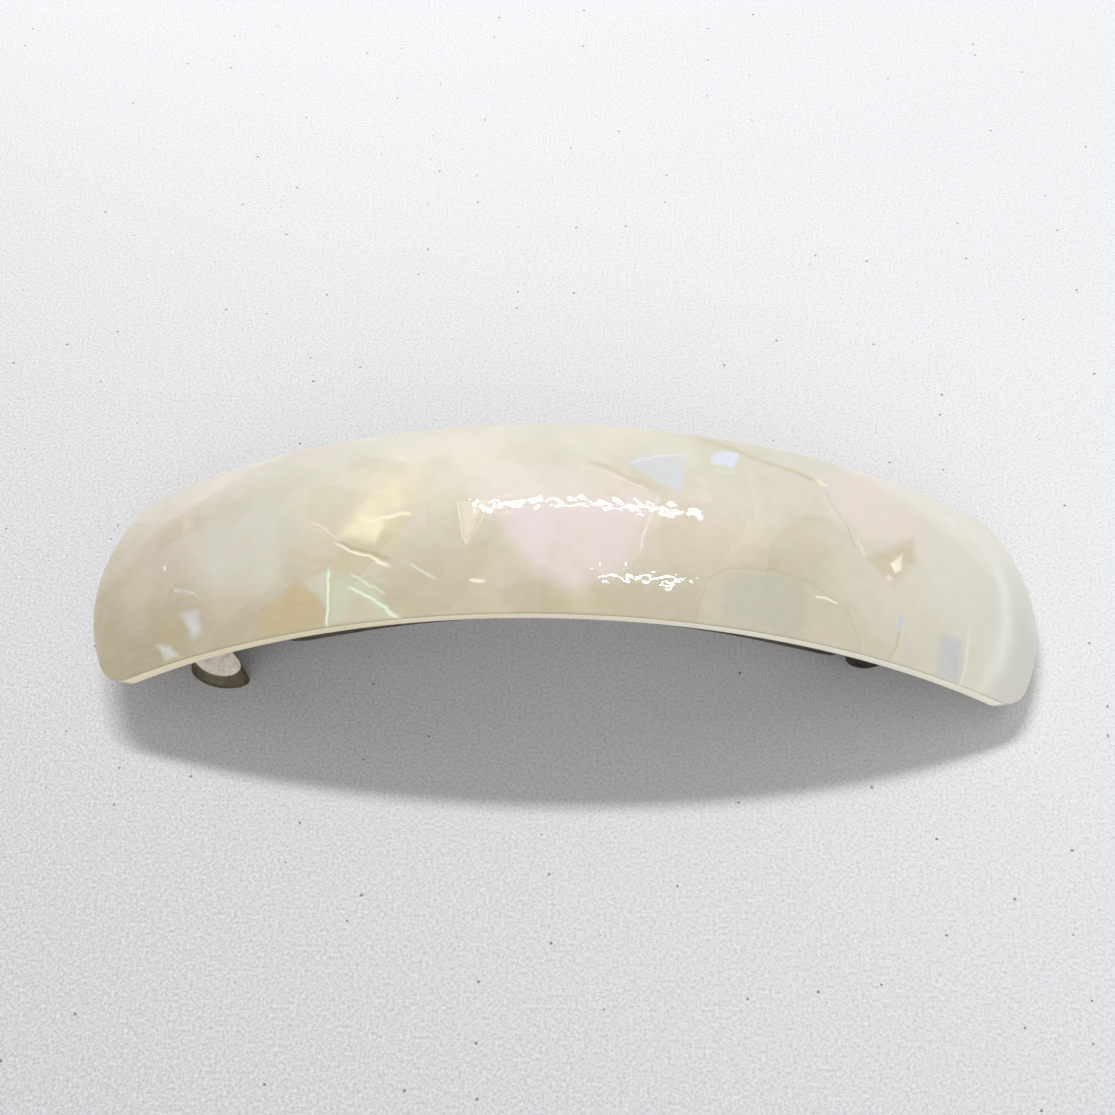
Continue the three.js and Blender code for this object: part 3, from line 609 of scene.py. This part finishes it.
def metal_material(name, tint, dark, lit_top_color, roughness, grime=0.35):
    """Worn nickel-plated steel: fine grain, dull patches and dark specks, with painted light that makes faces
    looking up brighter and painted shade that darkens the metal toward the hinge.
    """
    n = Nodes(name)
    coordinates = n.node("TexCoord")
    place = coordinates.outputs["Object"]
    stretch = n.node("Mapping")
    n.join(place, stretch.inputs["Vector"])
    stretch.inputs["Scale"].default_value = (220, 2600, 2600)
    grain = n.noise(stretch.outputs[0], 1.0, detail=5.0)
    patches = n.noise(place, 420.0, detail=5.0, roughness=0.62)
    specks = n.noise(place, 2400.0, detail=3.0, roughness=0.7)
    color = n.mix(n.ramp(patches, 0.42, 0.7, 0.0, 0.6), tint, dark)
    color = n.mix(n.ramp(grain, 0.35, 0.75, 0.0, 0.3), color, dark)
    color = n.mix(n.ramp(specks, 0.62, 0.72, 0.0, grime), color, linear(58, 50, 40))
    # Painted light: faces that look up are painted brighter, as lit by the room and by the plate above them,
    # and the rest stay dull
    top_light_mask = n.node("Attribute", attribute_name="upward").outputs["Fac"]
    lit_face_color = n.mix(n.ramp(patches, 0.48, 0.7, 0.0, 0.4), lit_top_color, tint)
    lit_face_color = n.mix(n.ramp(specks, 0.6, 0.68, 0.0, grime), lit_face_color, dark)
    color = n.mix(n.ramp(top_light_mask, 0.3, 0.7), color, lit_face_color)
    # Painted shade: the metal is darkened toward the hinge, which lies in deep shade under the plate
    along = n.node("SeparateXYZ")
    n.join(place, along.inputs[0])
    from_shade_middle = n.math("ABSOLUTE", n.math("SUBTRACT", along.outputs[0], SHADE_MIDDLE_X))
    color = n.mix(n.ramp(from_shade_middle, *SHADE_FADE, 0.75, 0.0), color, linear(44, 38, 26))
    n.join(color, n.shader.inputs["Base Color"])
    n.join(n.ramp(patches, 0.3, 0.75, roughness, roughness + 0.22), n.shader.inputs["Roughness"])
    n.join(n.bump(specks, 0.00003, 0.35, n.bump(grain, 0.00002, 0.4)), n.shader.inputs["Normal"])
    # The painted light also makes faces that look up less metallic, so that they take more of the room's
    # light
    n.join(n.ramp(top_light_mask, 0.3, 0.75, 0.8, 0.35), n.shader.inputs["Metallic"])
    return n.material


def finished_copy(node_name, piece_name, material, bevel_mm, segments=3, keep=None):
    """A CAD node's shape with its flat faces merged, its edges rounded and its surface smoothed.
    keep is a half space, as a point and a direction in the row frame, to keep only that part."""
    source = frame["nodes"][node_name]
    mesh_data = bmesh.new()
    mesh_data.from_mesh(source.data)
    mesh_data.transform(source.matrix_world)
    bmesh.ops.remove_doubles(mesh_data, verts=mesh_data.verts, dist=WELD)
    bmesh.ops.dissolve_limit(
        mesh_data, angle_limit=MERGE_ANGLE, verts=mesh_data.verts, edges=mesh_data.edges
    )
    if keep:
        cut = bmesh.ops.bisect_plane(
            mesh_data,
            geom=list(mesh_data.verts) + list(mesh_data.edges) + list(mesh_data.faces),
            plane_co=keep[0],
            plane_no=keep[1],
            clear_inner=True,
        )
        rim = [part for part in cut["geom_cut"] if isinstance(part, bmesh.types.BMEdge)]
        bmesh.ops.contextual_create(mesh_data, geom=rim)
    mesh = bpy.data.meshes.new(piece_name)
    mesh_data.to_mesh(mesh)
    mesh_data.free()
    return finished(mesh, piece_name, material, bevel_mm, segments)


def finished(mesh, piece_name, material, bevel_mm, segments, sheet_mm=0.0):
    """Thickens a mesh if it is an open sheet, rounds its edges and smooths its surface, and notes
    how far each point looks up for the material."""
    rough = link(bpy.data.objects.new(piece_name + "_rough", mesh))
    if sheet_mm:
        sheet = rough.modifiers.new("sheet", "SOLIDIFY")
        sheet.thickness = sheet_mm * MM
        sheet.offset = -1
        sheet.use_even_offset = True
    bevel = rough.modifiers.new("bevel", "BEVEL")
    bevel.width = bevel_mm * MM
    bevel.segments = segments
    bevel.limit_method = "ANGLE"
    bevel.angle_limit = BEVEL_ANGLE
    bevel.harden_normals = True
    bevel.use_clamp_overlap = True
    graph = bpy.context.evaluated_depsgraph_get()
    final = bpy.data.meshes.new_from_object(rough.evaluated_get(graph))
    bpy.data.objects.remove(rough)
    final.name = piece_name
    final.shade_smooth()
    final.set_sharp_from_angle(angle=SMOOTH_ANGLE)
    final.materials.clear()
    final.materials.append(material)
    # How far each point looks up, for the painted light that the steel's material puts on faces that look up
    upward = final.attributes.new("upward", "FLOAT", "POINT")
    for vertex in final.vertices:
        upward.data[vertex.index].value = max(0.0, vertex.normal.z)
    return link(bpy.data.objects.new(piece_name, final))


def body_with(node_name):
    """The body that a CAD node belongs to."""
    bodies = frame["record"]["behaviour"]["bodies"]
    return next(body for body, nodes in bodies.items() if node_name in nodes)


def slot_of(node_name):
    """The material slot that a CAD node's subpart names."""
    parts = frame["record"]["subparts"]
    return next(part["material_slot"] for part in parts if part["node"] == node_name)


# How far each steel part's edges are rounded, in millimetres
BEVELS = {
    "clasp_base": 0.12,
    "clasp_arm": 0.14,
    "catch_bracket": 0.1,
    "catch_rivet": 0.08,
    "base_pin_catch_end": 0.08,
    "base_pin_hinge_end": 0.08,
    "hinge_pin": 0.08,
}
STEM_BEVEL = 0.1
BAR_BEVEL = 0.08


def build_metal(materials):
    """The clip's rigid steel parts, as their CAD nodes with rounded edges."""
    for node_name, bevel_mm in BEVELS.items():
        slot = slot_of(node_name)
        piece = finished_copy(node_name, node_name + "_steel", materials[slot], bevel_mm)
        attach(piece, body_with(node_name))
        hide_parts(node_name)


# A finger pad in millimetres: an oval face that slopes down and outwards, turned a little away
# from the catch, on a neck from the stem. Its outline is as (x, across) about PAD_X
PAD_X = -38.8
PAD_ACROSS = 6.15
PAD_REACH = (2.85, 1.15)
PAD_TURN = 0.3
PAD_OVAL = (-0.4, math.pi + 0.2)
PAD_OVAL_STEPS = 30
STEM_OUTSIDE = 3.04
PAD_NECK_RIGHT = [(0.1, STEM_OUTSIDE), (0.25, 3.9), (0.75, 4.7), (1.7, 5.5)]
PAD_NECK_LEFT = [(-2.75, 4.7), (-2.4, 3.9), (-2.2, STEM_OUTSIDE)]
PAD_LEVEL = 4.15
PAD_SLOPE_START = 4.86
PAD_SLOPE = 0.95
PAD_TILT = 0.2
PAD_SHEET = 0.5
PAD_BEVEL = 0.08

# The face is filled by ever larger copies of the outline about a middle point. Then come its
# rounded edge, as how far out and how far down, and its rim, as how far out and as a share of the
# way down to the table
PAD_MIDDLE = 5.4
PAD_FACE_SHARES = (0.0, 0.2, 0.4, 0.6, 0.78, 0.92, 1.0)
PAD_EDGE = ((0.09, 0.05), (0.17, 0.17))
PAD_RIM = ((0.28, 0.35), (0.55, 0.7), (0.75, 1.0))
PAD_RIM_START = 5.2
PAD_RIM_BLEND = 0.7
TABLE_GAP = 0.03


def pad_height(x, across):
    """How high the pad's face is above the table: level by the stem, and then sloping down."""
    beyond = max(across - PAD_SLOPE_START, 0.0)
    return PAD_LEVEL - PAD_SLOPE * beyond + PAD_TILT * x * min(beyond, 1.0)


def pad_outline():
    """The pad's outline from the neck round to the neck."""
    reach_x, reach_across = PAD_REACH
    cos, sin = math.cos(PAD_TURN), math.sin(PAD_TURN)

    def on_oval(angle):
        x, across = reach_x * math.cos(angle), reach_across * math.sin(angle)
        return (x * cos - across * sin, PAD_ACROSS + x * sin + across * cos)

    oval = [on_oval(angle) for angle in steps(*PAD_OVAL, PAD_OVAL_STEPS)]
    return PAD_NECK_RIGHT + oval + PAD_NECK_LEFT


def pad_rows():
    """The pad's upper surface as rows of (x, across, height), from its middle to its rim's foot."""
    outline = pad_outline()
    rows = []
    for share in PAD_FACE_SHARES:
        inner = [(x * share, PAD_MIDDLE + (across - PAD_MIDDLE) * share) for x, across in outline]
        rows.append([(x, across, pad_height(x, across)) for x, across in inner])
    falls = [(outwards, down, 0.0) for outwards, down in PAD_EDGE]
    falls += [(outwards, 0.0, share) for outwards, share in PAD_RIM]
    for outwards, down, share in falls:
        row = []
        for x, across in outline:
            turned = min(max((across - PAD_RIM_START) / PAD_RIM_BLEND, 0.0), 1.0)
            grown = 1 + outwards * turned / math.hypot(x, across - PAD_MIDDLE)
            top = pad_height(x, across)
            height = top - (down + (top - TABLE_GAP) * share) * turned
            row.append((x * grown, PAD_MIDDLE + (across - PAD_MIDDLE) * grown, height))
        rows.append(row)
    return rows


def build_pad(side, material):
    """The pad's face and its turned-down, slightly flared rim, as one pressed sheet."""
    mesh_data = bmesh.new()
    made = [
        [
            mesh_data.verts.new(Vector((PAD_X + x, side * across, height)) * MM)
            for x, across, height in row
        ]
        for row in pad_rows()
    ]
    for inner, outer in zip(made, made[1:]):
        for i in range(1, len(inner)):
            corners = [inner[i - 1], outer[i - 1], outer[i], inner[i]]
            mesh_data.faces.new(corners if side > 0 else corners[::-1])
    bmesh.ops.remove_doubles(mesh_data, verts=mesh_data.verts, dist=WELD)
    name = "pad_front" if side < 0 else "pad_back"
    mesh = bpy.data.meshes.new(name)
    mesh_data.to_mesh(mesh)
    mesh_data.free()
    return finished(mesh, name, material, PAD_BEVEL, 2, PAD_SHEET)


def build_tabs(material):
    """Each half of the catch spring: the stem with its prong, and the finger pad."""
    for node_name, side in (("pinch_tab_front", -1), ("pinch_tab_back", 1)):
        within = (Vector((0, side * STEM_OUTSIDE * MM, 0)), Vector((0, -side, 0)))
        stem = finished_copy(node_name, node_name + "_stem", material, STEM_BEVEL, keep=within)
        for piece in (stem, build_pad(side, material)):
            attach(piece, body_with(node_name))
            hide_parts(node_name)


def build_tension_bar(material):
    """The bow in two halves that meet at its middle."""
    low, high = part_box("tension_bar")
    middle = Vector(((low[0] + high[0]) / 2, 0, high[2]))
    for label, way in (("catch", -1), ("hinge", 1)):
        direction = Vector((way, 0, 0))
        name = f"tension_bar_{label}_half"
        half = finished_copy("tension_bar", name, material, BAR_BEVEL, 2, (middle, direction))
        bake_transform(half)
        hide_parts("tension_bar")


# ---- the table, the light and the camera


TABLE_HALF = 1.5
# Where the painted falloff of light runs, in metres along the slope toward the back and the right
TABLE_PAINTED_FALLOFF = (-0.12, 0.09)
PAINT_GRAIN_SCALE = 3000.0
SPECK_SCALE = 150.0
SPECK_REACH = 0.026


def build_table():
    """Pale painted board: a fine grain and a few tiny dark specks, with a painted falloff of light that makes
    it darker toward the front and the left.
    """
    n = Nodes("table_paper")
    coordinates = n.node("TexCoord")
    place = coordinates.outputs["Object"]
    split = n.node("SeparateXYZ")
    n.join(place, split.inputs[0])
    # Painted light: darker toward the front and the left, standing in for the light's falloff
    slope = n.math("ADD", split.outputs[1], n.math("MULTIPLY", split.outputs[0], 0.8))
    painted_falloff = n.ramp(slope, *TABLE_PAINTED_FALLOFF)
    color = n.mix(painted_falloff, linear(197, 197, 199), linear(229, 229, 231))
    grain = n.noise(place, PAINT_GRAIN_SCALE, detail=4.0, roughness=0.8)
    color = n.mix(n.ramp(grain, 0.42, 0.7, 0.0, 0.6), color, linear(244, 243, 242))
    color = n.mix(n.ramp(grain, 0.32, 0.5, 0.42, 0.0), color, linear(160, 158, 154))
    specks = n.node("TexVoronoi", feature="F1", voronoi_dimensions="2D")
    n.join(place, specks.inputs["Vector"])
    specks.inputs["Scale"].default_value = SPECK_SCALE
    chance = n.node("SeparateColor")
    n.join(specks.outputs["Color"], chance.inputs[0])
    reach = n.ramp(chance.outputs[0], 0.35, 1.0, 0.0, SPECK_REACH)
    speck = n.math("LESS_THAN", specks.outputs["Distance"], reach)
    color = n.mix(n.math("MULTIPLY", speck, 0.7), color, linear(90, 86, 82))
    n.join(color, n.shader.inputs["Base Color"])
    n.shader.inputs["Roughness"].default_value = 0.8
    n.shader.inputs["Specular IOR Level"].default_value = 0.2
    n.join(n.bump(grain, 0.00006, 0.5), n.shader.inputs["Normal"])
    mesh_data = bmesh.new()
    bmesh.ops.create_grid(mesh_data, x_segments=8, y_segments=8, size=TABLE_HALF)
    mesh = bpy.data.meshes.new("table")
    mesh_data.to_mesh(mesh)
    mesh_data.free()
    mesh.materials.append(n.material)
    link(bpy.data.objects.new("table", mesh))


# The room's brightness by how far a direction points to the back, from -1 to 1: it is brighter at
# the front, where the room opens to the windows
ROOM_TINT = (0.965, 0.98, 1.0, 1)
ROOM_WAYS = (-0.95, -0.3)
ROOM_BRIGHTNESS = (1.45, 0.43)


def ceiling_lamp(name, middle, size, turn, power, shades):
    """A long slim lamp that hangs level and shines down. It either lights what is below or only
    shows as a reflection in it."""
    lamp = bpy.data.lights.new(name, "AREA")
    lamp.shape = "RECTANGLE"
    lamp.size, lamp.size_y = size
    lamp.energy = power
    obj = link(bpy.data.objects.new(name, lamp))
    obj.location = middle
    obj.rotation_euler = (0, 0, turn)
    obj.visible_diffuse = shades
    obj.visible_glossy = not shades


def build_light():
    """A pale room: one soft lamp above and behind that shades the barrette, and two rows of
    ceiling lamps that only show as reflections in the polish."""
    world = bpy.data.worlds.new("studio")
    bpy.context.scene.world = world
    world.use_nodes = True
    tree = world.node_tree
    background = tree.nodes["Background"]
    background.inputs[0].default_value = ROOM_TINT
    ways = tree.nodes.new("ShaderNodeTexCoord")
    split = tree.nodes.new("ShaderNodeSeparateXYZ")
    front = tree.nodes.new("ShaderNodeMapRange")
    front.interpolation_type = "SMOOTHSTEP"
    for socket, number in zip(list(front.inputs)[1:5], ROOM_WAYS + ROOM_BRIGHTNESS):
        socket.default_value = number
    tree.links.new(ways.outputs["Generated"], split.inputs[0])
    tree.links.new(split.outputs[1], front.inputs[0])
    tree.links.new(front.outputs[0], background.inputs[1])
    ceiling_lamp("lamp_soft", (-0.22, 0.57, 1.2), (0.6, 0.11), 0.0, 13.0, True)
    ceiling_lamp("lamps_back", (0.118, 0.79, 1.0), (0.75, 0.022), math.radians(4.4), 2.5, False)
    ceiling_lamp("lamps_top", (0.278, 0.21, 1.0), (0.275, 0.021), math.radians(4), 0.9, False)


CAMERA_ELEVATION = math.radians(51.38)
CAMERA_AZIMUTH = math.radians(-3.586)
CAMERA_ROLL = math.radians(-2.742)
CAMERA_DISTANCE = 0.17589
SENSOR_WIDTH = 36
FOCAL_LENGTH = 54.888
CAMERA_SHIFT = (-0.0076, -0.0494)


def build_camera():
    """The view looks at the plate's crest, which sits a little above the picture's middle."""
    crest = ARCH_TO_ROW @ Vector((0, 0, ARCH_RADIUS))
    forward = Vector((
        math.sin(CAMERA_AZIMUTH) * math.cos(CAMERA_ELEVATION),
        math.cos(CAMERA_AZIMUTH) * math.cos(CAMERA_ELEVATION),
        -math.sin(CAMERA_ELEVATION),
    ))
    right = Vector((math.cos(CAMERA_AZIMUTH), -math.sin(CAMERA_AZIMUTH), 0))
    up = right.cross(forward)
    turned_right = right * math.cos(CAMERA_ROLL) + up * math.sin(CAMERA_ROLL)
    turned_up = up * math.cos(CAMERA_ROLL) - right * math.sin(CAMERA_ROLL)
    camera = bpy.data.cameras.new("camera")
    camera.sensor_width = SENSOR_WIDTH
    camera.lens = FOCAL_LENGTH
    camera.shift_x, camera.shift_y = CAMERA_SHIFT
    camera.clip_start = 0.01
    obj = link(bpy.data.objects.new("camera", camera))
    turn = Matrix((turned_right, turned_up, -forward)).transposed()
    obj.matrix_world = Matrix.Translation(crest - forward * CAMERA_DISTANCE) @ turn.to_4x4()
    bpy.context.scene.camera = obj


bpy.context.scene.view_settings.view_transform = "Standard"
build_plate(acetate_material())
# Each steel: its colour, its dull patches, the painted light on faces that look up, and its roughness
metals = {
    "steel": metal_material(
        "nickel_steel", linear(118, 112, 98), linear(70, 63, 48), linear(190, 185, 174), 0.34),
    "spring_steel": metal_material(
        "spring_steel", linear(122, 114, 93), linear(72, 65, 46), linear(230, 222, 210), 0.55),
    "pin_steel": metal_material(
        "pin_steel", linear(150, 146, 138), linear(100, 95, 86), linear(176, 172, 164), 0.35),
}
build_metal(metals)
build_tabs(metals["spring_steel"])
build_tension_bar(metals["spring_steel"])
build_table()
build_light()
build_camera()
